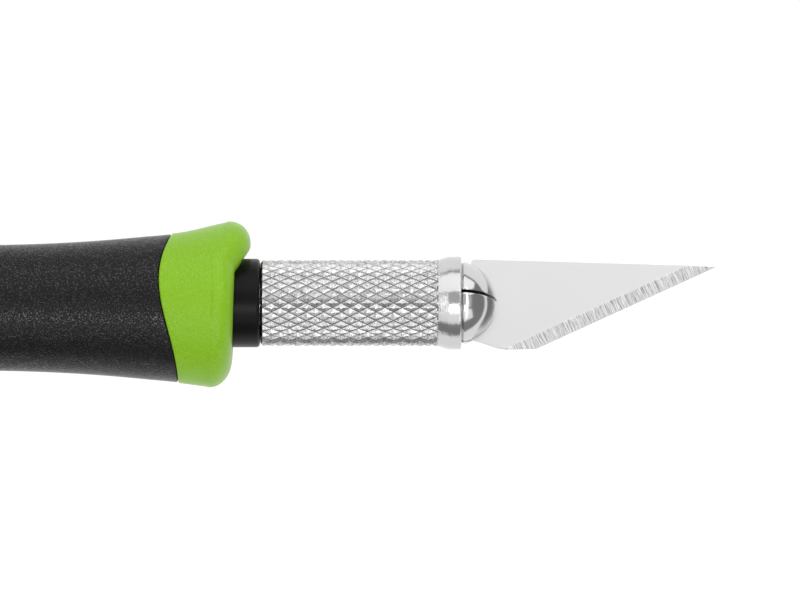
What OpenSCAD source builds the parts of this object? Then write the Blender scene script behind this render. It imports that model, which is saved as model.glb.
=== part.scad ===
// Hobby craft knife with a collet chuck, in millimetres.
// +X runs along the chuck axis from the butt to the blade tip, +Y is the side of the blade's
// back and +Z points up from the surface that the knife lies on. The origin is the centre of
// the butt plug's flat face. The chuck sets the sizes that the handle is built up on.

/* [Blade] */
// Thickness of the blade
blade_t = 0.5; // [0.4:0.05:0.7]
// Length of the blade that stands out of the nut
blade_out = 26.2; // [21:0.1:34]
// Height of the blade's back above the chuck axis
back_up = 4.62; // [4.2:0.01:5.6]
// Depth of the heel below the chuck axis
heel_down = 4.95; // [4.5:0.01:6]
// Height of the tip above the chuck axis
tip_up = 3.87; // [3:0.01:4.5]
// Distance from the nut's mouth to the start of the cutting edge
heel_at = 7.66; // [6:0.05:10]
// Width of the ground bevel
bevel_w = 1.29; // [0.8:0.01:1.8]

/* [Collet] */
// Radius of the closed jaws inside the nut
jaw_r = 3; // [2.5:0.05:3.8]
// How far the collet's head reaches beyond the jaws
head_step = 1.21; // [0.9:0.01:1.6]
// Distance that the rounded head stands out of the nut
head_len = 3.65; // [3:0.05:4.6]
// Half angle of the closing cone
cone_angle = 25; // [20:1:32]
// Width of the slit across the blade
cross_slit = 0.3; // [0.2:0.02:0.5]
// Turn of the collet and blade about the chuck axis
chuck_turn = 17.5; // [0:0.5:45]

/* [Chuck nut] */
// Length of the knurled nut
nut_len = 20.7; // [17:0.1:26]
// Radial play of the jaws in the nut, which they need to open
nut_play = 0.35; // [0.3:0.01:0.5]
// Wall of the nut under the top of its knurl
nut_wall = 1.07; // [0.85:0.01:1.4]
// Thickness of the rim round the collet's head
nut_rim = 0.57; // [0.45:0.01:0.8]
// Length of the flare and the land together
flare_len = 2.5; // [2:0.1:4]
// Length of the plain land at the mouth
land_len = 1.3; // [1:0.05:1.8]

/* [Thread] */
// Radius at which the collet's thread is held
thread_r = 2.3; // [1.9:0.05:2.8]
// Advance of the collet for each turn of the nut
thread_pitch = 0.8; // [0.5:0.1:1]
// Length of the threaded insert
insert_len = 11; // [9:0.5:14]

/* [Core] */
// How far the bare neck stands above the top of the knurl
neck_step = 0.13; // [0:0.01:0.3]
// Wall of the neck round the threaded insert
neck_wall = 0.85; // [0.7:0.01:1.1]
// Step from the neck up to the core under the grip
core_step = 0.35; // [0.2:0.01:0.6]
// Wall of the hollow core
core_wall = 1.6; // [1.3:0.05:2.2]
// Height of the core's flange inside the finger guard
flange_step = 1.3; // [0.8:0.05:1.5]
// Thickness of the butt plug's head
plug_head = 1.6; // [1.2:0.1:2.4]
// Length of the butt plug's spigot
plug_spigot = 6; // [4:0.5:12]

/* [Grip] */
// Length from the butt face to the face that the nut seats on
handle_len = 118; // [95:1:150]
// Cover over the core at the grip's waist, across the blade's width
waist_wall = 1.55; // [1.4:0.05:3]
// Extra height where the palm holds the grip
palm_swell = 1.65; // [1:0.05:3]
// Extra height at the butt
butt_swell = 0.95; // [0.8:0.05:2]
// Extra height where the finger guard begins to round over
guard_flare = 1.66; // [1.3:0.01:3]
// Thickness of the grip as a share of its height, which stops the knife rolling
flat_ratio = 0.91; // [0.9:0.01:1]
// Distance by which the grip's centre line lies below the chuck axis
grip_drop = 0.5; // [0:0.05:0.6]
// Distance from the seat face back to the grip's waist
waist_back = 30; // [25:0.5:40]

/* [Hidden] */
fine = 96;                           // facets of every true cylinder
running = 0.05;                      // radial clearance of the thread and of the butt plug
seat_gap = 0.05;                     // nut to neck, so that the nut can turn
slide_gap = 0.02;                    // jaw face to blade face

// Collet
seat_x = handle_len;                 // face that the nut seats on
mouth_x = seat_x + nut_len;          // front face of the nut
head_r = jaw_r + head_step;          // radius of the collet's head
cone_lip = [0.3, 0.15];              // bevel between the closing cone and the head
cone_r = head_r - cone_lip[1];       // radius of the closing cone at the mouth
slot_t = blade_t + 2 * slide_gap;    // width of the slot that the blade slides in
drill_r = 0.8;                       // hole drilled through the collet before it is slit
drill_front = 3;                     // where that hole ends behind the nut's mouth
base_gap = 0.3;                      // seat face to the collet's base ring
base_len = 2.2;                      // length of the base ring that carries the jaws
base_x = seat_x + base_gap;
root_x = base_x + base_len;
shank_len = insert_len - 1.5;        // threaded shank inside the insert

// Chuck nut
nut_bore_r = jaw_r + nut_play;
knurl_r = nut_bore_r + nut_wall;
land_r = head_r + nut_rim;
cone_gap = 0.04;                     // nut cone to jaw cone, measured radially
mouth_edge = 0.2;                    // broken edge at the nut's mouth
rear_edge = 0.25;                    // broken edge at the nut's rear
key_w = 1.2;                         // width of the keyways inside the nut
key_depth = 0.5;                     // depth of the keyways
key_gap = 0.05;                      // lug to keyway, all round
draw_out = 2 * thread_pitch;         // advance of the collet at two turns
key_spare = 0.4;                     // keyway left beyond the lugs at that advance

// Core and plug
neck_r = knurl_r + neck_step;
neck_round = 0.35;                   // rounded edge of the neck
insert_r = neck_r - neck_wall;
insert_x = seat_x - 0.3;             // front of the insert, just inside the neck
insert_groove = [1, 0.4];            // width and depth of the insert's two grooves
core_r = neck_r + core_step;
core_bore_r = core_r - core_wall;
flange_r = core_r + flange_step;
flange_back = [7.6, 4.9];            // rear and front of the flange behind the seat
plug_round = 0.5;                    // rounded edges of the butt plug

// Skin of the grip and the guard
skin_sides = 48;                     // segments round the grip and the guard
wrap = 1 / cos(180 / skin_sides);    // lets a many-sided bore clear the round core
waist_r = core_r + waist_wall;
flare_power = 2.1;                   // how late the grip flares towards the guard
flare_back = 5.45;                   // distance behind the seat of the full flare
palm_back = 0.73 * handle_len;       // distance behind the seat of the palm swell
butt_inset = 0.5;                    // plug face to grip end
butt_round = [2.6, 1.6];             // rounding of the grip's end, along and across
lobe_up = 0.39;                      // extra height of the guard on the blade's back side
lobe_power = 1.5;                    // how the lobe fades towards the sides
lobe_back = [8.6, 3];                // where the lobe starts and where it is whole
seam_gap = 0.06;                     // hairline between grip and guard
seam_wave = [9.92, 1.61, -1.16, -1.27]; // seam behind the seat, by powers of the height
front_back = 2.67;                   // distance of the guard's front face behind the seat
front_lean = 0.19;                   // forward lean of that face from edge to back
front_lobe = [1.56, 2.2];            // forward reach of its lobe, and the lobe's power
front_dish = 0.2;                    // how far the front face sinks where it meets the neck
lip_along = [1.9, -0.1, 0.3];        // rounding of the guard's lip along the axis
lip_across = [2.4, -0.41, 0.17];     // rounding of the guard's lip across the axis

// Blade
min_edge = 0.02;                     // thickness left at the cutting edge
half_tang = nut_bore_r - 0.35;       // half the width of the tang, which the nut surrounds
tang_len = nut_len - base_gap - base_len - 0.7; // the tang ends just before the base ring
tang_corner = 0.8;                   // cut corners of the tang
tang_hole = [8, 1.6];                // length and width of the slot in the tang
tang_hole_at = 3;                    // distance of the slot from the end of the tang
shoulder_x = 1;                      // where the blade widens, ahead of the mouth
notch_r = 0.5;                       // rounding where the tang meets the shoulders
back_round = 0.4;                    // rounding of the shoulder at the back
foot_round = 0.25;                   // rounding of the shoulder at the heel's side
heel_curve = [1.3, 4.6];             // start and end of the curve down to the heel
heel_rise = 0.97;                    // height of that curve
heel_ease = 0.15;                    // share of the curve that the shoulder cuts off
edge_angle = atan((tip_up + heel_down) / (blade_out - heel_at));

// ---- small helpers ----

function arc(c, r, from, to, steps) =
    [for (i = [0:steps]) let (a = from + (to - from) * i / steps) c + r * [cos(a), sin(a)]];
function ease(t) = let (u = min(1, max(0, t))) u * u * (3 - 2 * u);
// A quadratic or cubic in up, its coefficients in rising powers.
function curve(c, up) = c[0] + c[1] * up + c[2] * up * up + (len(c) > 3 ? c[3] * up * up * up : 0);

// Turns a profile of [x, radius] points round the chuck axis.
module turned(profile) {
    rotate([0, 90, 0]) rotate([0, 0, 90]) rotate_extrude($fn = fine)
        polygon([for (p = profile) [p[1], p[0]]]);
}

// A cylinder along the chuck axis from x0 to x1.
module rod(x0, x1, r) {
    translate([x0, 0, 0]) rotate([0, 90, 0]) cylinder(h = x1 - x0, r = r, $fn = fine);
}

// Joins rings of points into one closed skin that runs round like a tyre.
module closed_skin(rings) {
    count = len(rings);
    around = len(rings[0]);
    faces = [for (i = [0:count - 1], j = [0:around - 1])
        let (a = i * around, b = ((i + 1) % count) * around, k = (j + 1) % around)
        each [[a + j, b + j, b + k], [a + j, b + k, a + k]]];
    polyhedron(points = [for (r = rings) each r], faces = faces);
}

// ---- the outer skin of the handle ----
// An angle of 0 points up and 90 points to the blade's back; back is a distance behind the seat.

function flare(back) = let (t = (waist_back - back) / (waist_back - flare_back))
    guard_flare * pow(max(0, t), flare_power);
function swell(back) = back < palm_back
    ? palm_swell * pow(sin(90 * max(0, back - waist_back) / (palm_back - waist_back)), 2)
    : palm_swell - (palm_swell - butt_swell)
        * (1 - cos(90 * (back - palm_back) / (handle_len - palm_back)));
function lobe(back, up) = lobe_up * pow(max(0, up), lobe_power)
    * ease((lobe_back[0] - back) / (lobe_back[0] - lobe_back[1]));
function skin_r(back, up) = waist_r + flare(back) + swell(back) + lobe(back, up);
function skin_slope(back, up) = (skin_r(back - 0.1, up) - skin_r(back + 0.1, up)) / 0.2;
function seam(up) = curve(seam_wave, up);
function front(up) = front_back - front_lean * up
    - front_lobe[0] * pow(max(0, up), front_lobe[1]);

function skin_point(back, r, a) =
    [seat_x - back, r * sin(a) - grip_drop, flat_ratio * r * cos(a)];
function core_point(back, r, a) = [seat_x - back, wrap * r * sin(a), wrap * r * cos(a)];
angles = [for (i = [0:skin_sides - 1]) (i + 0.5) * 360 / skin_sides];

// The guard's lip at angle a: t runs from 0, where the skin starts to round, to 1 at the front.
function lip_back(up) = front(up) + curve(lip_along, up);
function lip_point(t, a) = let (
        up = sin(a), along = curve(lip_along, up), across = curve(lip_across, up),
        start = lip_back(up), lean = -atan(skin_slope(start, up) * along / across),
        turn = lean + (90 - lean) * t, hub = skin_r(start, up) - across * cos(lean))
    skin_point(start - along * sin(turn), hub + across * cos(turn), a);

module finger_guard() {
    rear = [for (a = angles) seam(sin(a)) - seam_gap / 2];
    count = len(angles);
    outer = [for (t = [0:0.2:0.81]) [for (i = [0:count - 1]) let (
        up = sin(angles[i]), back = rear[i] + (lip_back(up) - rear[i]) * t)
        skin_point(back, skin_r(back, up), angles[i])]];
    lip = [for (t = [0:1 / 7:1.01]) [for (a = angles) lip_point(t, a)]];
    mouth = [for (a = angles) core_point(front(sin(a)) + front_dish, neck_r, a)];
    steps = [[flange_back[1], neck_r], [flange_back[1], flange_r],
             [flange_back[0], flange_r], [flange_back[0], core_r]];
    bore = [for (p = steps) [for (a = angles) core_point(p[0], p[1], a)]];
    end = [for (i = [0:count - 1]) core_point(rear[i], core_r, angles[i])];
    color("yellowgreen") closed_skin(concat(outer, lip, [mouth], bore, [end]));
}

module grip_sleeve() {
    end_back = handle_len - butt_inset;
    round_back = end_back - butt_round[0];
    steps = 22;
    hub = skin_r(end_back, 0) - butt_round[1];
    tail = [for (t = [0:0.2:1.01]) [for (a = angles)
        skin_point(end_back - butt_round[0] * (1 - cos(90 * t)),
                   hub + butt_round[1] * sin(90 * t), a)]];
    outer = [for (i = [1:steps]) [for (a = angles) let (
        back = round_back + (seam(sin(a)) + seam_gap / 2 - round_back) * i / steps)
        skin_point(back, skin_r(back, sin(a)), a)]];
    bore = [[for (a = angles) core_point(seam(sin(a)) + seam_gap / 2, core_r, a)],
            [for (a = angles) core_point(end_back, core_r, a)]];
    color("dimgray") closed_skin(concat(tail, outer, bore));
}

// ---- the hard parts of the handle ----

module handle_core() {
    pocket = insert_x - insert_len;
    profile = concat(
        [[plug_head, core_bore_r], [plug_head, core_r],
         [seat_x - flange_back[0], core_r], [seat_x - flange_back[0], flange_r],
         [seat_x - flange_back[1], flange_r], [seat_x - flange_back[1], neck_r]],
        arc([seat_x - neck_round, neck_r - neck_round], neck_round, 90, 0, 6),
        [[seat_x, insert_r], [pocket, insert_r], [pocket, core_bore_r]]);
    color("#202022") turned(profile);
}

module end_plug() {
    profile = concat(
        [[0, 0]],
        arc([plug_round, core_r - running - plug_round], plug_round, 180, 90, 6),
        [[plug_head, core_r - running], [plug_head, core_bore_r - running],
         [plug_head + plug_spigot - plug_round, core_bore_r - running],
         [plug_head + plug_spigot, core_bore_r - running - plug_round],
         [plug_head + plug_spigot, 0]]);
    color("#202022") turned(profile);
}

module thread_insert() {
    color("goldenrod") difference() {
        rod(insert_x - insert_len, insert_x, insert_r);
        rod(insert_x - insert_len - 1, insert_x + 1, thread_r + running);
        for (share = [1 / 3, 2 / 3]) translate([insert_x - insert_len * share, 0, 0])
            difference() {
                rod(-insert_groove[0] / 2, insert_groove[0] / 2, insert_r + 1);
                rod(-insert_groove[0], insert_groove[0], insert_r - insert_groove[1]);
            }
    }
}

// ---- the chuck ----

module chuck_nut() {
    rear = seat_x + seat_gap;
    cone_len = (cone_r + cone_gap - nut_bore_r) / tan(cone_angle);
    profile = [
        [rear, nut_bore_r], [rear, knurl_r - rear_edge], [rear + rear_edge, knurl_r],
        [mouth_x - flare_len, knurl_r], [mouth_x - land_len, land_r],
        [mouth_x - mouth_edge, land_r], [mouth_x, land_r - mouth_edge],
        [mouth_x, cone_r + cone_gap], [mouth_x - cone_len, nut_bore_r]];
    keyway_end = root_x + draw_out + key_spare;
    color("gainsboro") rotate([-chuck_turn, 0, 0]) difference() {
        turned(profile);
        for (side = [0, 180]) rotate([side, 0, 0]) translate([rear - 1, -key_w / 2, 0])
            cube([keyway_end - rear + 1, key_w, nut_bore_r + key_depth]);
    }
}

module collet_shank() {
    lug_r = nut_bore_r + key_depth - key_gap;
    lug_w = key_w - 2 * key_gap;
    color("silver") rotate([-chuck_turn, 0, 0]) difference() {
        union() {
            rod(base_x - shank_len, root_x, thread_r);
            rod(base_x, root_x, nut_bore_r - 2 * key_gap);
            intersection() {
                rod(base_x, root_x, lug_r);
                translate([base_x, -lug_w / 2, -lug_r]) cube([base_len, lug_w, 2 * lug_r]);
            }
        }
        rod(base_x - shank_len - 1, root_x + 1, drill_r);
    }
}

// Profile of the four closed jaws, from their root to the round nose. The nose is the cap of a
// sphere that runs from the front of the cone's lip to the tip on the axis.
function head_profile() = let (
        reach = head_len - cone_lip[0],
        nose_r = (reach * reach + head_r * head_r) / (2 * reach),
        hub = [mouth_x + head_len - nose_r, 0],
        start = atan2(head_r, mouth_x + cone_lip[0] - hub[0]),
        cone_len = (cone_r - jaw_r) / tan(cone_angle))
    concat(
        [[root_x, 0], [root_x, jaw_r], [mouth_x - cone_len, jaw_r], [mouth_x, cone_r]],
        arc(hub, nose_r, start, 0, 16));

// One quarter of the collet's split front; side_y and side_z, each 1 or -1, pick the quarter.
module jaw(side_y, side_z) {
    size = 2 * head_r;
    color("silver") rotate([-chuck_turn, 0, 0]) difference() {
        intersection() {
            turned(head_profile());
            translate([root_x - 1, side_y * (cross_slit + size) / 2 - size / 2,
                       side_z * (slot_t + size) / 2 - size / 2])
                cube([nut_len + head_len, size, size]);
        }
        rod(root_x - 1, mouth_x - drill_front, drill_r);
    }
}

// ---- the blade ----

// Outline in the blade's own plane: x from the nut's mouth, y up towards the back.
function blade_outline() = let (
        slope = (tip_up - back_up) / (blade_out - shoulder_x),
        foot_y = -heel_down + heel_rise * (1 - ease(heel_ease)))
    concat(
        [[-tang_len, -half_tang + tang_corner], [-tang_len + tang_corner, -half_tang]],
        arc([shoulder_x - notch_r, -half_tang - notch_r], notch_r, 90, 0, 4),
        arc([shoulder_x + foot_round, foot_y + foot_round], foot_round, 180, 255, 3),
        [for (t = [0:1 / 6:1]) [heel_curve[0] + (heel_curve[1] - heel_curve[0]) * t,
            -heel_down + heel_rise * (1 - ease(heel_ease + (1 - heel_ease) * t))]],
        [[heel_at, -heel_down], [blade_out, tip_up],
         [shoulder_x + back_round, back_up + slope * back_round]],
        arc([shoulder_x + back_round, back_up - back_round], back_round, 110, 180, 4),
        arc([shoulder_x - notch_r, half_tang + notch_r], notch_r, 0, -90, 4),
        [[-tang_len + tang_corner, half_tang], [-tang_len, half_tang - tang_corner]]);

// Wedge of waste that the grinding takes from one side, along the cutting edge.
module bevel_waste() {
    long = blade_out + heel_at;
    translate([heel_at, -heel_down, 0]) rotate([0, 0, edge_angle])
        translate([-long / 2, 0, 0]) rotate([90, 0, 90]) linear_extrude(height = 1.5 * long)
            polygon([[-1, min_edge / 2], [0, min_edge / 2], [bevel_w, blade_t / 2],
                     [bevel_w, blade_t], [-1, blade_t]]);
}

module blade() {
    color("lightgray") rotate([-chuck_turn, 0, 0]) translate([mouth_x, 0, 0]) difference() {
        translate([0, 0, -blade_t / 2]) linear_extrude(height = blade_t)
            polygon(blade_outline());
        for (face = [0, 1]) mirror([0, 0, face]) bevel_waste();
        translate([tang_hole_at - tang_len, 0, -blade_t]) linear_extrude(height = 2 * blade_t)
            union() {
                translate([0, -tang_hole[1] / 2]) square(tang_hole);
                for (end = [0, tang_hole[0]])
                    translate([end, 0]) circle(d = tang_hole[1], $fn = fine);
            }
    }
}

handle_core();
grip_sleeve();
finger_guard();
end_plug();
thread_insert();
chuck_nut();
collet_shank();
jaw(1, 1);  // jaw_back_upper
jaw(1, -1);  // jaw_back_lower
jaw(-1, 1);  // jaw_edge_upper
jaw(-1, -1);  // jaw_edge_lower
blade();
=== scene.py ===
import math

import bmesh
import bpy
from mathutils import Matrix, Vector


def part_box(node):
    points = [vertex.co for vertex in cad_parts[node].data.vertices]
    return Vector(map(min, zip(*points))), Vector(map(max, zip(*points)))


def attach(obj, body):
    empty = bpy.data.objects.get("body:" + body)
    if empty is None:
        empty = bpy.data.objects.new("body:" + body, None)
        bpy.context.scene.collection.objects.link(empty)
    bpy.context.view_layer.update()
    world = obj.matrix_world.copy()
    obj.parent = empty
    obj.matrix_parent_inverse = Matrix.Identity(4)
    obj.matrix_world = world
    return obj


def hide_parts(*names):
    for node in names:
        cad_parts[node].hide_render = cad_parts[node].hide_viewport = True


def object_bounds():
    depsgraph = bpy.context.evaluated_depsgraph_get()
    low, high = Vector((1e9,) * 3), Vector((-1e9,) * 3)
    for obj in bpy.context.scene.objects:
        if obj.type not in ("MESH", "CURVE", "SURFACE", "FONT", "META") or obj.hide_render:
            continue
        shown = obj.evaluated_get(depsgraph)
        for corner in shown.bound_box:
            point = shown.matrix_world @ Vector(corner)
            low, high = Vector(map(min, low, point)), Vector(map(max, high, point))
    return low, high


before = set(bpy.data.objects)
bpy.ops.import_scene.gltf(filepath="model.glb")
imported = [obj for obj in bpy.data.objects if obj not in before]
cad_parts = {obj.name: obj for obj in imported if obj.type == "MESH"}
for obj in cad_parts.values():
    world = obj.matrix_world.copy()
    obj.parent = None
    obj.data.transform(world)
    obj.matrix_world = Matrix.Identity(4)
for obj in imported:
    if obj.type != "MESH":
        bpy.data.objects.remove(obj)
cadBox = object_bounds()
mm = 0.001

# the skins, the nut and the jaws hang on these places, in millimetres along the knife from its butt
seatGap = 0.05  # the nut stands this far clear of the neck
nutLow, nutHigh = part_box("chuck_nut")
seatX = nutLow.x / mm - seatGap
mouthX = nutHigh.x / mm
chuckTurn = math.radians(17.5)  # the blade leans by this about the chuck's axis
weld = 1e-7  # points nearer than this, in metres, become one
print(f"frame loaded: seat at {seatX:.2f} mm, nut mouth at {mouthX:.2f} mm")


class Wire:
    # a socket that adds its own Math nodes when it is used in an expression
    def __init__(self, tree, socket):
        self.tree = tree
        self.socket = socket

    def compute(self, operation, *values):
        made = self.tree.nodes.new("ShaderNodeMath")
        made.operation = operation
        for slot, value in zip(made.inputs, values):
            if isinstance(value, Wire):
                self.tree.links.new(value.socket, slot)
            else:
                slot.default_value = value
        return Wire(self.tree, made.outputs[0])

    def __add__(self, other):
        return self.compute("ADD", self, other)

    def __radd__(self, other):
        return self.compute("ADD", other, self)

    def __sub__(self, other):
        return self.compute("SUBTRACT", self, other)

    def __rsub__(self, other):
        return self.compute("SUBTRACT", other, self)

    def __mul__(self, other):
        return self.compute("MULTIPLY", self, other)

    def __rmul__(self, other):
        return self.compute("MULTIPLY", other, self)

    def __truediv__(self, other):
        return self.compute("DIVIDE", self, other)

    def __rtruediv__(self, other):
        return self.compute("DIVIDE", other, self)

    def __pow__(self, other):
        return self.compute("POWER", self, other)

    def __rpow__(self, other):
        return self.compute("POWER", other, self)

    def cosine(self):
        return self.compute("COSINE", self)

    def sine(self):
        return self.compute("SINE", self)


class NodeTree:
    # adds nodes to one tree, for a material or for geometry
    def __init__(self, tree):
        self.tree = tree

    def node(self, kind, settings=None, inputs=None, output=0):
        made = self.tree.nodes.new(kind)
        for name, value in (settings or {}).items():
            setattr(made, name, value)
        for name, value in (inputs or {}).items():
            self.feed(made.inputs[name], value)
        if isinstance(output, tuple):
            return [Wire(self.tree, made.outputs[which]) for which in output]
        return Wire(self.tree, made.outputs[output]) if made.outputs else None

    def feed(self, socket, value):
        # a list makes several links to one socket
        for one in value if isinstance(value, list) else [value]:
            if isinstance(one, Wire):
                self.tree.links.new(one.socket, socket)
            else:
                socket.default_value = one

    def vector(self, x, y, z):
        return self.node("ShaderNodeCombineXYZ", {}, {"X": x, "Y": y, "Z": z})

    def split(self, vector):
        return self.node("ShaderNodeSeparateXYZ", {}, {"Vector": vector}, (0, 1, 2))

    def mix(self, factor, first, second):
        first, second = [c if isinstance(c, Wire) else (*c, 1.0) for c in (first, second)]
        return self.node("ShaderNodeMix", {"data_type": "RGBA"}, {0: factor, 6: first, 7: second}, 2)

    def ramp(self, value, low, high):
        return self.node("ShaderNodeMapRange", {"interpolation_type": "SMOOTHSTEP"},
                         {"Value": value, "From Min": low, "From Max": high})


class Finish(NodeTree):
    # one procedural material; what is the same all over goes straight on the shader's sockets
    def __init__(self, name, **constants):
        self.material = bpy.data.materials.new(name)
        self.material.use_nodes = True
        super().__init__(self.material.node_tree)
        self.shader = next(n for n in self.tree.nodes if n.type == "BSDF_PRINCIPLED")
        self.set(**constants)
        self.point = self.node("ShaderNodeTexCoord", output="Object")

    def turned(self, angle, scale=(1, 1, 1)):
        return self.node("ShaderNodeMapping", {},
                         {"Vector": self.point, "Rotation": (angle, 0, 0), "Scale": scale})

    def noise(self, scale, detail=2.0, rough=0.5, vector=None):
        return self.node("ShaderNodeTexNoise", {}, {
            "Vector": vector or self.point, "Scale": scale, "Detail": detail, "Roughness": rough})

    def bump(self, height, distance, strength=1.0):
        return self.node("ShaderNodeBump", {}, {
            "Height": height, "Distance": distance, "Strength": strength})

    def set(self, **values):
        for key, value in values.items():
            self.feed(self.shader.inputs[key.replace("_", " ")], value)
        return self.material


def grey(level):
    return (level, level, level)


def ease(t):
    u = min(1.0, max(0.0, t))
    return u * u * (3 - 2 * u)


def powers(row, up):
    return sum(c * up ** i for i, c in enumerate(row))


def arcPoints(cx, cy, radius, start, end, steps):
    angles = [math.radians(start + (end - start) * i / steps) for i in range(steps + 1)]
    return [(cx + radius * math.cos(a), cy + radius * math.sin(a)) for a in angles]


def ringSkin(rings, endless=True):
    # joins rings of points, in millimetres, into a closed skin that comes back on itself or is capped
    work = bmesh.new()
    loops = [[work.verts.new(Vector(p) * mm) for p in ring] for ring in rings]
    count = len(loops[0])
    for before, after in zip(loops, loops[1:] + loops[:1] if endless else loops[1:]):
        for j in range(count):
            k = (j + 1) % count
            work.faces.new((before[j], after[j], after[k], before[k]))
    if not endless:
        work.faces.new(loops[0])
        work.faces.new(loops[-1])
    return work


def finishMesh(work, name, smoothAngle):
    # merges the doubles, turns the faces out and shades smooth up to an angle
    bmesh.ops.remove_doubles(work, verts=work.verts, dist=weld)
    bmesh.ops.recalc_face_normals(work, faces=work.faces)
    for face in work.faces:
        face.smooth = True
    for edge in work.edges:
        if len(edge.link_faces) == 2 and edge.calc_face_angle() > math.radians(smoothAngle):
            edge.smooth = False
    mesh = bpy.data.meshes.new(name)
    work.to_mesh(mesh)
    work.free()
    return mesh


def meshPiece(name, mesh, body, replaced, material):
    piece = bpy.data.objects.new(name, mesh)
    bpy.context.scene.collection.objects.link(piece)
    mesh.materials.clear()
    mesh.materials.append(material)
    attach(piece, body)
    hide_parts(replaced)
    return piece


# the skin that the grip and the guard share, in millimetres; back is counted back from the nut's
# seat, and up runs from -1 on the side of the cutting edge to 1 on the side of the blade's back
handle = {
    "length": 118.0,
    "waist": 6.45, "waistBack": 30.0,  # radius and place of the narrowest part
    "flare": 1.66, "flareBack": 5.45, "flarePower": 2.1,  # rise from the waist to the guard
    "palm": 1.65, "palmShare": 0.73,  # rise to the palm swell, and its place along the handle
    "butt": 0.95,  # rise that is left at the butt
    "lobe": 0.39, "lobeBack": (8.6, 3.0), "lobePower": 1.5,  # extra height behind the blade's back
    "flatRatio": 0.91,  # width of the oval section over its height
    "drop": 0.5,  # the section's middle lies this far below the chuck's axis
    "seam": (9.92, 1.61, -1.16, -1.27),  # place of the seam, by powers of up
    "seamGap": 0.06,
    "seamRound": ((0.0, 0.16), (0.03, 0.08), (0.08, 0.03), (0.16, 0.0)),  # away from the seam, and in
    "neckR": 4.55, "coreR": 4.9, "clearance": 0.004,  # the hard core inside, and the play round it
    "around": 192, "smoothAngle": 40,
    "grain": 6500, "fleckRange": (0.54, 0.66), "rough": 0.28, "roughCloud": 0.06, "coatRough": 0.22,
}

guard = {
    "front": 2.67, "frontLean": 0.19,  # place of the front edge, and how it leans
    "frontLobe": (1.52, 0.58, 0.97),  # reach of the front lobe, and the heights it rises between
    "faceSlope": 0.45,  # share of that reach by which the face runs back to the neck
    "lipAlong": (1.9, -0.1, 0.3), "lipAcross": (2.4, -0.41, 0.17),  # the rounded lip, by powers of up
    "dish": 0.2, "dishSag": 0.07, "dishShares": (0.3, 0.6, 0.85, 1.0),
    "flangeR": 6.2, "flangeBack": (7.6, 4.9), "flangePlay": 0.01,
    "skinSteps": 20, "lipSteps": 18,
    # the fleck colour is lighter than the rest, a painted glint
    "dark": (0.208, 0.436, 0.008), "light": (0.226, 0.466, 0.012), "fleckWithPaintedGlint": (0.250, 0.500, 0.034),
    "gloss": 0.22, "fleckCoat": 0.4, "cloud": 160, "grainDepth": 0.00005,
}

grip = {
    "buttInset": 0.5, "buttRound": (2.6, 1.6), "buttSteps": 12,
    "sink": 0.06, "sinkBack": 3.5,  # the soft skin lies a hair lower than the guard where they meet
    "skinSteps": 90,
    # the fleck colour is lighter than the rest, a painted glint
    "dark": (0.0036, 0.0036, 0.0040), "light": (0.0054, 0.0054, 0.0058), "fleckWithPaintedGlint": (0.0120, 0.0120, 0.0126),
    "gloss": 0.18, "fleckCoat": 0.8, "cloud": 120, "grainDepth": 0.00006,
}


def mouldedSkin(name, look):
    # moulded skin, whose fine grain has glossy flecks that sparkle where they catch the lamps; the flecks are
    # also painted lighter in the colour, a painted glint
    made = Finish(name, Specular_IOR_Level=look["gloss"], Coat_Roughness=handle["coatRough"])
    grain = made.noise(handle["grain"], 1.0)
    fleckWithPaintedGlint = made.ramp(grain, *handle["fleckRange"])
    cloud = made.noise(look["cloud"])
    # the flecks are painted lighter in the colour as painted glints, on top of their real coat gloss
    colour = made.mix(fleckWithPaintedGlint, made.mix(cloud, look["dark"], look["light"]), look["fleckWithPaintedGlint"])
    rough = handle["rough"] + handle["roughCloud"] * cloud
    return made.set(Base_Color=colour, Roughness=rough, Coat_Weight=look["fleckCoat"] * fleckWithPaintedGlint,
                    Normal=made.bump(grain, look["grainDepth"]))


def skinHeight(back, up):
    # radius of the skin: flare, palm swell and the lobe behind the blade's back
    h = handle
    nearness = max(0.0, (h["waistBack"] - back) / (h["waistBack"] - h["flareBack"]))
    flare = h["flare"] * nearness ** h["flarePower"]
    palmBack = h["palmShare"] * h["length"]
    if back < palmBack:
        share = max(0.0, back - h["waistBack"]) / (palmBack - h["waistBack"])
        swell = h["palm"] * math.sin(math.pi / 2 * share) ** 2
    else:
        share = (back - palmBack) / (h["length"] - palmBack)
        swell = h["palm"] - (h["palm"] - h["butt"]) * (1 - math.cos(math.pi / 2 * share))
    start, whole = h["lobeBack"]
    lobe = h["lobe"] * max(0.0, up) ** h["lobePower"] * ease((start - back) / (start - whole))
    return h["waist"] + flare + swell + lobe


def skinPoint(back, radius, angle):
    y = radius * math.sin(angle) - handle["drop"]
    return (seatX - back, y, handle["flatRatio"] * radius * math.cos(angle))


def roundPoint(back, radius, angle):
    return (seatX - back, radius * math.sin(angle), radius * math.cos(angle))


def ringAngles():
    return [2 * math.pi * (i + 0.5) / handle["around"] for i in range(handle["around"])]


def skinRing(backAt, insetAt):
    # a ring on the skin, whose place and depth are worked out from up
    ring = []
    for a in ringAngles():
        up = math.sin(a)
        back = backAt(up)
        ring.append(skinPoint(back, skinHeight(back, up) - insetAt(back, up), a))
    return ring


def skinRings(startAt, stopAt, steps, insetAt):
    # rings spread evenly between two places, without the two ends
    return [skinRing(lambda up: startAt(up) + (stopAt(up) - startAt(up)) * i / steps, insetAt)
            for i in range(1, steps)]


def roundRing(backAt, radius):
    return [roundPoint(backAt(math.sin(a)), radius, a) for a in ringAngles()]


def seamBack(up):
    return powers(handle["seam"], up)


def gripSink(back, up):
    return grip["sink"] * ease((seamBack(up) + grip["sinkBack"] - back) / grip["sinkBack"])


def lobeReach(up):
    reach, low, high = guard["frontLobe"]
    return reach * ease((up - low) / (high - low))


def frontBack(up):
    return guard["front"] - guard["frontLean"] * up - lobeReach(up)


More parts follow.
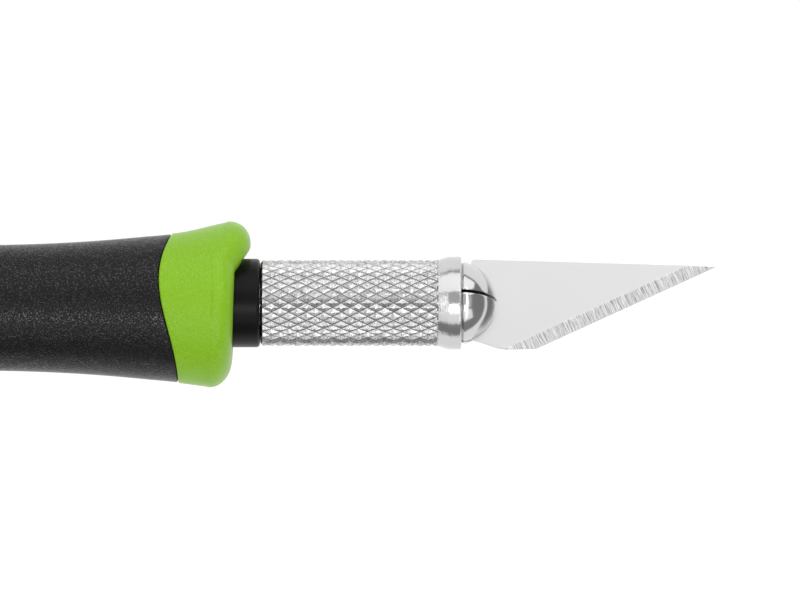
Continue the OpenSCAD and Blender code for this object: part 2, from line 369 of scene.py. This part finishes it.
def lipPoint(t, angle):
    # a place on the quarter ellipse that rolls the skin over into the front face
    up = math.sin(angle)
    along, across = powers(guard["lipAlong"], up), powers(guard["lipAcross"], up)
    start = frontBack(up) + along
    probe = 0.1
    slope = (skinHeight(start - probe, up) - skinHeight(start + probe, up)) / (2 * probe)
    lean = -math.atan(slope * along / across)
    turn = lean + (math.pi / 2 - lean) * t
    hub = skinHeight(start, up) - across * math.cos(lean)
    return skinPoint(start - along * math.sin(turn), hub + across * math.cos(turn), angle)


def faceRings(lipEnd):
    # the front face runs in to the neck with a shallow dish
    g = guard
    rings = []
    for share in g["dishShares"]:
        sag = g["dishSag"] * math.sin(math.pi * share)
        ring = []
        for p, a in zip(lipEnd, ringAngles()):
            up = math.sin(a)
            back = frontBack(up) + g["dish"] + g["faceSlope"] * lobeReach(up)
            q = roundPoint(back, handle["neckR"] + handle["clearance"], a)
            x, y, z = [start + (end - start) * share for start, end in zip(p, q)]
            ring.append((x - sag, y, z))
        rings.append(ring)
    return rings


def guardMesh():
    h, g = handle, guard
    half = h["seamGap"] / 2
    last = h["seamRound"][-1][0] + half
    rings = []
    for offset, inset in h["seamRound"]:
        rings.append(skinRing(lambda up: seamBack(up) - half - offset, lambda back, up: inset))
    rings += skinRings(lambda up: seamBack(up) - last, lambda up: frontBack(up) + powers(g["lipAlong"], up),
                       g["skinSteps"], lambda back, up: 0.0)
    for i in range(g["lipSteps"] + 1):
        rings.append([lipPoint(i / g["lipSteps"], a) for a in ringAngles()])
    rings += faceRings(rings[-1])
    # then back inside, round the core's flange, to the seam
    rear, fore = g["flangeBack"]
    neckR, coreR = h["neckR"] + h["clearance"], h["coreR"] + h["clearance"]
    flangeR = g["flangeR"] + g["flangePlay"]
    for back, radius in ((fore, neckR), (fore, flangeR), (rear, flangeR), (rear, coreR)):
        rings.append(roundRing(lambda up: back, radius))
    rings.append(roundRing(lambda up: seamBack(up) - half, coreR))
    return finishMesh(ringSkin(rings), "finger_guard_skin", h["smoothAngle"])


def gripMesh():
    h, g = handle, grip
    half = h["seamGap"] / 2
    last = h["seamRound"][-1][0] + half
    coreR = h["coreR"] + h["clearance"]
    endBack = h["length"] - g["buttInset"]
    along, across = g["buttRound"]
    hub = skinHeight(endBack, 0) - across
    rings = []
    for i in range(g["buttSteps"] + 1):
        t = math.pi / 2 * i / g["buttSteps"]
        back, radius = endBack - along * (1 - math.cos(t)), hub + across * math.sin(t)
        rings.append([skinPoint(back, radius, a) for a in ringAngles()])
    rings += skinRings(lambda up: endBack - along, lambda up: seamBack(up) + last, g["skinSteps"], gripSink)
    for offset, inset in reversed(h["seamRound"]):
        rings.append(skinRing(lambda up: seamBack(up) + half + offset,
                              lambda back, up: gripSink(back, up) + inset))
    rings += [roundRing(lambda up: seamBack(up) + half, coreR), roundRing(lambda up: endBack, coreR)]
    return finishMesh(ringSkin(rings), "grip_sleeve_skin", h["smoothAngle"])


meshPiece("grip_sleeve_skin", gripMesh(), "handle", "grip_sleeve",
          mouldedSkin("gripRubber", grip))
meshPiece("finger_guard_skin", guardMesh(), "handle", "finger_guard",
          mouldedSkin("guardPlastic", guard))
print("handle skins made")


nut = {
    "rear": nutLow.x / mm, "rearEdge": 0.25,
    "rearRound": ((0.06, 0.02), (0.0, 0.1)),  # steps of the rear edge, along and in from the grooves
    "knurlR": 4.42, "knurlDepth": 0.24, "crest": 0.24,  # crest is the share of a diamond left flat
    "around": 28, "pitches": 10, "knurlEnd": mouthX - 2.5,
    "rises": ((0.86, 1.25), (0.14, 0.55)),  # each step of a diamond: share of the depth, and its taper
    "flareFoot": (0.12, 0.02), "flareShares": (0.25, 0.5, 0.75, 0.92),
    "landStart": mouthX - 1.3, "landR": 4.78, "landRound": (0.1, 0.01), "landHold": 0.05,
    "mouthEdge": 0.2, "mouthR": 4.1, "mouthBreak": (0.04, 0.06), "mouthArc": (80, 0, 5),
    "boreR": 3.35, "coneLen": 1.608,
    "keyR": 3.85, "keyHalf": 0.6, "keyEnd": 4.85, "keyEase": 2,  # keyways for the collet's lugs
    "weld": 2e-6, "smoothAngle": 24,  # the knurl's own weld, in metres
    # the dark grey of the grooves is painted shade, strongest at their bottoms and fading out towards the
    # crests
    "turnedFace": (0.53, 0.60), "cutFace": (0.38, 0.69), "grooveShade": 0.18, "shadeTopShare": 0.78,
    "scratch": 3200, "scratchRange": (0.36, 0.60), "edgeBlend": 0.05,
    "lines": 6000, "lineDepth": 0.00006, "lineStrength": 0.5, "cloud": 500,
    "rough": 0.12, "roughCloud": 0.08, "roughKnurl": 0.10,
}


def nutAluminium(n):
    # machined aluminium, scratched on the knurl, with painted shade that darkens the bottoms of its grooves
    made = Finish("nutAluminium", Metallic=1.0)
    x, y, z = made.split(made.point)
    radius = (y * y + z * z) ** 0.5
    grooveR = n["knurlR"] - n["knurlDepth"]
    # painted shade: a mask that is dark at the bottom of each knurl groove and fades out towards the crest
    shadeFade = made.ramp(radius, grooveR * mm, (n["knurlR"] - n["shadeTopShare"] * n["knurlDepth"]) * mm)
    knurled = made.ramp(x, (n["knurlEnd"] + n["edgeBlend"]) * mm, (n["knurlEnd"] - n["edgeBlend"]) * mm)
    lines = made.noise(n["lines"], 3.0, 0.6, made.turned(0.0, (1.0, 0.3, 0.3)))
    cloud = made.noise(n["cloud"])
    scratch = made.ramp(made.noise(n["scratch"], 3.0, 0.7), *n["scratchRange"])
    turnedFace = made.mix(cloud, *map(grey, n["turnedFace"]))
    cutFace = made.mix(scratch, *map(grey, n["cutFace"]))
    face = made.mix(knurled, turnedFace, cutFace)
    # painted shade: the knurl's colour darkens to the shade grey towards the bottoms of its grooves
    colour = made.mix(knurled * (1 - shadeFade), face, grey(n["grooveShade"]))
    rough = n["rough"] + n["roughCloud"] * cloud + n["roughKnurl"] * knurled
    normal = made.bump(lines, n["lineDepth"], n["lineStrength"])
    return made.set(Base_Color=colour, Roughness=rough, Normal=normal)


def knurlTree(material):
    # a diamond with a flat crest, set out on two offset lattices and wrapped round the axis
    group = bpy.data.node_groups.new("knurlWrap", "GeometryNodeTree")
    sizes = {"Length": "Float", "Base Radius": "Float", "Depth": "Float", "Crest Share": "Float",
             "Around": "Int", "Pitches": "Int"}
    group.interface.new_socket("Geometry", in_out="INPUT", socket_type="NodeSocketGeometry")
    for name, kind in sizes.items():
        group.interface.new_socket(name, in_out="INPUT", socket_type="NodeSocket" + kind)
    group.interface.new_socket("Geometry", in_out="OUTPUT", socket_type="NodeSocketGeometry")
    build = NodeTree(group)
    length, base, depth, crest, around, pitches = build.node("NodeGroupInput", output=tuple(sizes))
    pitch = length / pitches
    width = base * (2 * math.pi) / around

    plate = build.node("GeometryNodeMeshCircle", {"fill_type": "NGON"}, {"Vertices": 4, "Radius": 1.0})
    shape = build.node("GeometryNodeTransform", {}, {
        "Geometry": plate, "Scale": build.vector(pitch / 2, width / 2, 1.0)})
    (firstRise, firstTaper), (lastRise, lastTaper) = nut["rises"]
    top = {}
    for rise, taper in ((firstRise, crest * firstTaper), (lastRise, lastTaper)):
        shape, face = build.node("GeometryNodeExtrudeMesh", {"mode": "FACES"}, {
            "Mesh": shape, "Offset": build.vector(0.0, 0.0, depth * rise), "Offset Scale": 1.0,
            "Individual": False, **top}, ("Mesh", "Top"))
        top = {"Selection": face}
        shape = build.node("GeometryNodeScaleElements", {"domain": "FACE"}, {
            "Geometry": shape, "Scale": taper, **top})

    lattices = []
    for extra, shift in ((1, 0.0), (0, 0.5)):
        grid = build.node("GeometryNodeMeshGrid", {}, {
            "Size X": length - pitch * (1 - extra), "Size Y": width * (around - 1),
            "Vertices X": pitches + extra, "Vertices Y": around})
        middle = build.vector(length / 2, width * ((around - 1) / 2 + shift), 0.0)
        placed = build.node("GeometryNodeTransform", {}, {"Geometry": grid, "Translation": middle})
        lattices.append(build.node("GeometryNodeInstanceOnPoints", {}, {"Points": placed, "Instance": shape}))
    joined = build.node("GeometryNodeJoinGeometry", {}, {"Geometry": lattices})
    flat = build.node("GeometryNodeRealizeInstances", {}, {"Geometry": joined})

    x, y, z = build.split(build.node("GeometryNodeInputPosition"))
    angle, radius = y / base, base + z
    wrapped = build.node("GeometryNodeSetPosition", {}, {
        "Geometry": flat, "Position": build.vector(x, radius * angle.cosine(), radius * angle.sine())})
    merged = build.node("GeometryNodeMergeByDistance", {}, {"Geometry": wrapped, "Distance": nut["weld"]})
    real = build.node("GeometryNodeRealizeInstances", {}, {"Geometry": merged})
    coloured = build.node("GeometryNodeSetMaterial", {}, {"Geometry": real, "Material": material})
    build.node("NodeGroupOutput", {}, {"Geometry": coloured})
    return group


def bakeNodes(name, group, values):
    # runs a Geometry Nodes group on an empty object and returns its plain mesh
    holder = bpy.data.objects.new(name, bpy.data.meshes.new(name))
    bpy.context.scene.collection.objects.link(holder)
    modifier = holder.modifiers.new("nodes", "NODES")
    modifier.node_group = group
    for item in group.interface.items_tree:
        if item.in_out == "INPUT" and item.name in values:
            modifier[item.identifier] = values[item.name]
    graph = bpy.context.evaluated_depsgraph_get()
    mesh = bpy.data.meshes.new_from_object(holder.evaluated_get(graph))
    holder.modifiers.clear()
    bpy.data.objects.remove(holder)
    return mesh


def loopEdges(work, x):
    # the open edges that lie in one plane across the axis
    near = 0.001
    return [e for e in work.edges
            if len(e.link_faces) == 1 and all(abs(v.co.x / mm - x) < near for v in e.verts)]


def extendRing(work, edges, x, radius):
    # carries a ring of edges on to a new place, where radius may depend on the angle
    grown = bmesh.ops.extrude_edge_only(work, edges=edges)["geom"]
    for v in (g for g in grown if isinstance(g, bmesh.types.BMVert)):
        angle = math.atan2(v.co.z, v.co.y)
        r = radius(angle) if callable(radius) else radius
        v.co = Vector((x, r * math.cos(angle), r * math.sin(angle))) * mm
    return [g for g in grown if isinstance(g, bmesh.types.BMEdge)]


def knurlMesh(material, start, grooveR):
    # the knurl between its two ends, still open at both
    n = nut
    mesh = bakeNodes("knurl", knurlTree(material), {
        "Length": (n["knurlEnd"] - start) * mm, "Base Radius": grooveR * mm,
        "Depth": n["knurlDepth"] * mm, "Crest Share": n["crest"],
        "Around": n["around"], "Pitches": n["pitches"]})
    work = bmesh.new()
    work.from_mesh(mesh)
    bpy.data.meshes.remove(mesh)
    for v in work.verts:
        v.co.x += start * mm
    bmesh.ops.remove_doubles(work, verts=work.verts, dist=n["weld"])
    for cut, side in ((start, -1), (n["knurlEnd"], 1)):
        geom = list(work.verts) + list(work.edges) + list(work.faces)
        bmesh.ops.bisect_plane(work, geom=geom, dist=weld, plane_co=(cut * mm, 0, 0),
                               plane_no=(side, 0, 0), clear_outer=True)
    return work


def nutMesh(material):
    n = nut
    start, grooveR = n["rear"] + n["rearEdge"], n["knurlR"] - n["knurlDepth"]
    work = knurlMesh(material, start, grooveR)

    def keyed(angle):
        # the bore with its two keyways, which the collet's lugs slide in
        half = math.asin(n["keyHalf"] / n["keyR"]) + math.radians(n["keyEase"])
        return n["keyR"] if abs(math.cos(angle + chuckTurn)) < math.sin(half) else n["boreR"]

    # from the knurl over the flare, the land and the mouth, then back down the cone and the bore
    along, rise = n["landStart"] - n["knurlEnd"], n["landR"] - n["knurlR"]
    path = [(n["knurlEnd"] + n["flareFoot"][0], n["knurlR"] + n["flareFoot"][1])]
    path += [(n["knurlEnd"] + along * share, n["knurlR"] + rise * share) for share in n["flareShares"]]
    path += [(n["landStart"], n["landR"] - n["landRound"][1]),
             (n["landStart"] + n["landRound"][0], n["landR"]),
             (mouthX - n["mouthEdge"] - n["landHold"], n["landR"])]
    path += arcPoints(mouthX - n["mouthEdge"], n["landR"] - n["mouthEdge"], n["mouthEdge"], *n["mouthArc"])
    path += [(mouthX, n["mouthR"] + n["mouthBreak"][1]), (mouthX - n["mouthBreak"][0], n["mouthR"]),
             (mouthX - n["coneLen"], n["boreR"]), (n["rear"] + n["keyEnd"], n["boreR"]),
             (n["rear"] + n["keyEnd"], keyed), (n["rear"], keyed)]
    rearPath = [(n["rear"] + ahead, grooveR - inwards) for ahead, inwards in n["rearRound"]]
    rearPath.append((n["rear"], keyed))
    for end, steps in ((n["knurlEnd"], path), (start, rearPath)):
        ring = loopEdges(work, end)
        for x, radius in steps:
            ring = extendRing(work, ring, x, radius)
    bmesh.ops.remove_doubles(work, verts=work.verts, dist=n["weld"])
    return finishMesh(work, "chuck_nut_knurled", n["smoothAngle"])


nutFinish = nutAluminium(nut)
nutPiece = meshPiece("chuck_nut_knurled", nutMesh(nutFinish), "nut", "chuck_nut", nutFinish)
print(f"nut made, {len(nutPiece.data.polygons)} faces")


collet = {
    "head": 4.22, "reach": 3.65,  # radius of the round head, and how far it stands out of the nut
    "lip": 0.3, "lipDrop": 0.15, "lipRound": 0.16, "lipSteps": 6,
    "jaw": 3.0, "coneAngle": math.radians(25), "root": 2.5,
    "slit": 0.3, "slot": 0.54,  # gap between the jaws, and the wider one that the blade fills
    "drill": 0.8, "drillBack": 3.0, "drillSteps": 6,
    "edge": 0.05, "edgeShare": 0.2, "noseHole": 0.02,
    "around": 36, "noseSteps": 30, "smoothAngle": 25,
    "colour": (grey(0.54), grey(0.63)), "rough": 0.10, "roughCloud": 0.08, "cloud": 350,
    "lines": 5000, "lineDepth": 0.000002, "lineStrength": 0.5,
}


def turnedMetal(name, look):
    # bright metal with the fine lines that a lathe leaves round the axis
    made = Finish(name, Metallic=1.0)
    lines = made.noise(look["lines"], 3.0, 0.6, made.turned(0.0, (1.0, 0.02, 0.02)))
    cloud = made.noise(look["cloud"])
    return made.set(Base_Color=made.mix(cloud, *look["colour"]),
                    Roughness=look["rough"] + look["roughCloud"] * cloud,
                    Normal=made.bump(lines, look["lineDepth"], look["lineStrength"]))


def bend(start, corner, end, steps):
    # points of a soft corner
    return [tuple((1 - t) ** 2 * a + 2 * t * (1 - t) * b + t * t * c for a, b, c in zip(start, corner, end))
            for t in (i / steps for i in range(steps + 1))]


def jawProfile():
    # places along the axis and radii, from the root over the closing cone to the round nose
    c = collet
    reach = c["reach"] - c["lip"]
    nose = (reach ** 2 + c["head"] ** 2) / (2 * reach)
    hub = mouthX + c["reach"] - nose
    coneR = c["head"] - c["lipDrop"]
    coneStart = mouthX - (coneR - c["jaw"]) / math.tan(c["coneAngle"])
    corner = (mouthX + c["lip"], c["head"])
    before = (corner[0] - c["lipRound"], corner[1] - c["lipRound"] * c["lipDrop"] / c["lip"])
    first = math.atan2(c["head"], corner[0] - hub) - c["lipRound"] / nose
    last = math.asin((math.hypot(c["slit"], c["slot"]) / 2 + c["noseHole"]) / nose)
    turns = [first + (last - first) * i / c["noseSteps"] for i in range(c["noseSteps"] + 1)]
    cap = [(hub + nose * math.cos(a), nose * math.sin(a)) for a in turns]
    return [(coneStart, c["jaw"]), (mouthX, coneR)] + bend(before, corner, cap[0], c["lipSteps"]) + cap[1:]


def jawRing(x, radius, drilled, sideY, sideZ):
    # a section of one quarter: the round outside, the two flats and the drilled corner
    c = collet
    slit, slot = c["slit"] / 2, c["slot"] / 2
    edge = min(c["edge"], c["edgeShare"] * (radius - math.hypot(slit, slot)))
    soft = edge * (1 - math.sqrt(0.5))
    bladeEnd, slitEnd = math.sqrt(radius ** 2 - slot ** 2), math.sqrt(radius ** 2 - slit ** 2)
    low, high = math.asin(slot / radius) + edge / radius, math.acos(slit / radius) - edge / radius
    flat = [(bladeEnd - edge, slot), (bladeEnd - soft, slot + soft)]
    flat += arcPoints(0, 0, radius, math.degrees(low), math.degrees(high), c["around"])
    flat += [(slit + soft, slitEnd - soft), (slit, slitEnd - edge)]
    if drilled:
        start, end = math.acos(slit / c["drill"]), math.asin(slot / c["drill"])
        flat += arcPoints(0, 0, c["drill"], math.degrees(start), math.degrees(end), c["drillSteps"])
    else:
        flat += [(slit, slot)] * (c["drillSteps"] + 1)
    cos, sin = math.cos(chuckTurn), math.sin(chuckTurn)
    return [(x, sideY * u * cos + sideZ * v * sin, sideZ * v * cos - sideY * u * sin) for u, v in flat]


def jawMesh(name, sideY, sideZ):
    c = collet
    drillEnd = mouthX - c["drillBack"]
    sections = [(seatX + c["root"], c["jaw"], True), (drillEnd, c["jaw"], True), (drillEnd, c["jaw"], False)]
    sections += [(x, radius, False) for x, radius in jawProfile()]
    rings = [jawRing(*section, sideY, sideZ) for section in sections]
    return finishMesh(ringSkin(rings, endless=False), name, c["smoothAngle"])


colletFinish = turnedMetal("colletNickel", collet)
for sideY, yName in ((1, "back"), (-1, "edge")):
    for sideZ, zName in ((1, "upper"), (-1, "lower")):
        body = f"jaw_{yName}_{zName}"
        name = body + "_turned"
        meshPiece(name, jawMesh(name, sideY, sideZ), body, body, colletFinish)
print("collet jaws made")


blade = {
    "heel": (7.66, -4.95), "tip": (26.2, 3.87),  # ends of the edge, from the nut's mouth and the axis
    "bevel": 1.35, "bevelBlend": 0.03,
    "flat": (0.585, 0.615), "ground": (0.29, 0.82), "grindRange": (0.36, 0.62),
    "grindScale": 15000, "grindStretch": 0.03, "rolledScale": 2500, "rolledHeight": 0.12,
    "depth": 0.00001, "depthStrength": 0.7, "cloud": 200,
    "rough": 0.30, "roughCloud": 0.04, "roughBevel": 0.02,
}

core = {
    "dark": (0.0032, 0.0032, 0.0034), "light": (0.0052, 0.0052, 0.0055), "gloss": 0.12,
    "rough": 0.26, "roughCloud": 0.12, "cloud": 300,
    "grain": 5000, "grainDepth": 0.00001, "grainStrength": 0.3,
}

insert = {
    "colour": ((0.62, 0.42, 0.16), (0.75, 0.53, 0.22)), "rough": 0.28, "roughCloud": 0.08, "cloud": 350,
    "lines": 6000, "lineDepth": 0.000004, "lineStrength": 0.5,
}


def bladeSteel(b):
    # rolled flat with a fine cloud, and a ground bevel whose lines run across the edge
    made = Finish("bladeSteel", Metallic=1.0)
    x, y, z = made.split(made.turned(chuckTurn))
    (heelX, heelY), (tipX, tipY) = b["heel"], b["tip"]
    lean = math.atan2(tipY - heelY, tipX - heelX)
    c, s = math.cos(lean), math.sin(lean)
    dx, dy = x - (mouthX + heelX) * mm, y - heelY * mm
    along, inward = dx * c + dy * s, dy * c - dx * s
    bevel = made.ramp(inward, (b["bevel"] + b["bevelBlend"]) * mm, (b["bevel"] - b["bevelBlend"]) * mm)
    cloud = made.noise(b["cloud"])
    lines = made.noise(b["grindScale"], 2.0, 0.8, made.vector(along, inward * b["grindStretch"], 0.0))
    grind = made.ramp(lines, *b["grindRange"])
    rolled = made.noise(b["rolledScale"], 3.0, 0.6, made.turned(chuckTurn, (0.02, 1.0, 1.0)))
    height = bevel * grind + (1 - bevel) * (rolled * b["rolledHeight"])
    flatFace = made.mix(cloud, *map(grey, b["flat"]))
    groundFace = made.mix(grind, *map(grey, b["ground"]))
    rough = b["rough"] + b["roughCloud"] * cloud + b["roughBevel"] * bevel
    return made.set(Base_Color=made.mix(bevel, flatFace, groundFace), Roughness=rough,
                    Normal=made.bump(height, b["depth"], b["depthStrength"]))


def corePlastic(look):
    # black moulded plastic of the core and the butt plug
    made = Finish("corePlastic", Specular_IOR_Level=look["gloss"])
    grain = made.noise(look["grain"], 2.0, 0.6)
    cloud = made.noise(look["cloud"])
    return made.set(Base_Color=made.mix(cloud, look["dark"], look["light"]),
                    Roughness=look["rough"] + look["roughCloud"] * cloud,
                    Normal=made.bump(grain, look["grainDepth"], look["grainStrength"]))


def dress(name, material):
    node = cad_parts[name]
    node.data.materials.clear()
    node.data.materials.append(material)


coreFinish = corePlastic(core)
dress("handle_core", coreFinish)
dress("end_plug", coreFinish)
dress("thread_insert", turnedMetal("insertBrass", insert))
dress("collet_shank", colletFinish)
dress("blade", bladeSteel(blade))
print("carried-over nodes dressed")


studio = {
    "viewWidth": 82.2, "centreX": seatX + 14.39, "centreY": 0.31, "lens": 500.0, "sensor": 36.0,
    "clip": (0.01, 10.0), "skyGlow": 0.28,
    "floorSize": 8.0, "floorGlow": 0.93, "floorGrey": (0.14, 0.16), "floorGrain": 400, "floorRough": 0.9,
    "distance": 0.6,  # from the knife to every lamp
    # name, angles from overhead towards +Y, length along X, brightness
    "sideBoxes": (("boxBack", 28, 82, 1.3, 1.2), ("boxFront", -54, -20, 1.3, 0.88),
                  ("boxTop", -14, 24, 1.3, 0.32), ("boxKey", -22, -6, 0.3, 4.0)),
    # name, angles from overhead towards +X, width along Y, brightness
    "endBoxes": (("boxHandleEnd", -38, -27, 0.40, 1.7), ("boxBladeEnd", 27, 38, 1.1, 1.9)),
}


def floorPaper(s):
    made = Finish("floorPaper", Roughness=s["floorRough"], Emission_Strength=s["floorGlow"])
    return made.set(Base_Color=made.mix(made.noise(s["floorGrain"]), *map(grey, s["floorGrey"])),
                    Emission_Color=(1.0, 1.0, 1.0, 1.0))


def softBox(name, aim, turn, width, height, glow, lift):
    # a rectangle of even brightness, at a distance, that faces the place it is aimed at
    light = bpy.data.lights.new(name, "AREA")
    light.shape = "RECTANGLE"
    light.size, light.size_y = width, height
    light.energy = glow * math.pi * width * height
    holder = bpy.data.objects.new(name, light)
    bpy.context.scene.collection.objects.link(holder)
    holder.matrix_world = Matrix.Translation(aim) @ turn @ Matrix.Translation((0, 0, lift))


def makeLamps(s):
    aim = Vector((s["centreX"] * mm, 0.0, 0.0))
    for name, low, high, length, glow in s["sideBoxes"]:
        turn = Matrix.Rotation(-math.radians((low + high) / 2), 4, "X")
        span = 2 * s["distance"] * math.tan(math.radians((high - low) / 2))
        softBox(name, aim, turn, length, span, glow, s["distance"])
    for name, low, high, width, glow in s["endBoxes"]:
        turn = Matrix.Rotation(math.radians((low + high) / 2), 4, "Y")
        span = 2 * s["distance"] * math.tan(math.radians((high - low) / 2))
        softBox(name, aim, turn, span, width, glow, s["distance"])
    world = bpy.data.worlds.new("studio")
    bpy.context.scene.world = world
    world.use_nodes = True
    background = world.node_tree.nodes["Background"]
    background.inputs["Color"].default_value = (1.0, 1.0, 1.0, 1.0)
    background.inputs["Strength"].default_value = s["skyGlow"]


def makeFloor(s):
    bpy.ops.mesh.primitive_plane_add(size=s["floorSize"], location=(s["centreX"] * mm, 0, cadBox[0][2]))
    floor = bpy.context.object
    floor.name = "floor"
    floor.data.materials.append(floorPaper(s))


def makeCamera(s):
    camera = bpy.data.cameras.new("camera")
    camera.lens, camera.sensor_width = s["lens"], s["sensor"]
    camera.clip_start, camera.clip_end = s["clip"]
    holder = bpy.data.objects.new("camera", camera)
    bpy.context.scene.collection.objects.link(holder)
    distance = s["viewWidth"] * mm * s["lens"] / s["sensor"]
    holder.location = (s["centreX"] * mm, s["centreY"] * mm, distance)
    bpy.context.scene.camera = holder


makeFloor(studio)
makeLamps(studio)
makeCamera(studio)
bpy.context.scene.view_settings.view_transform = "Standard"
print("studio made")
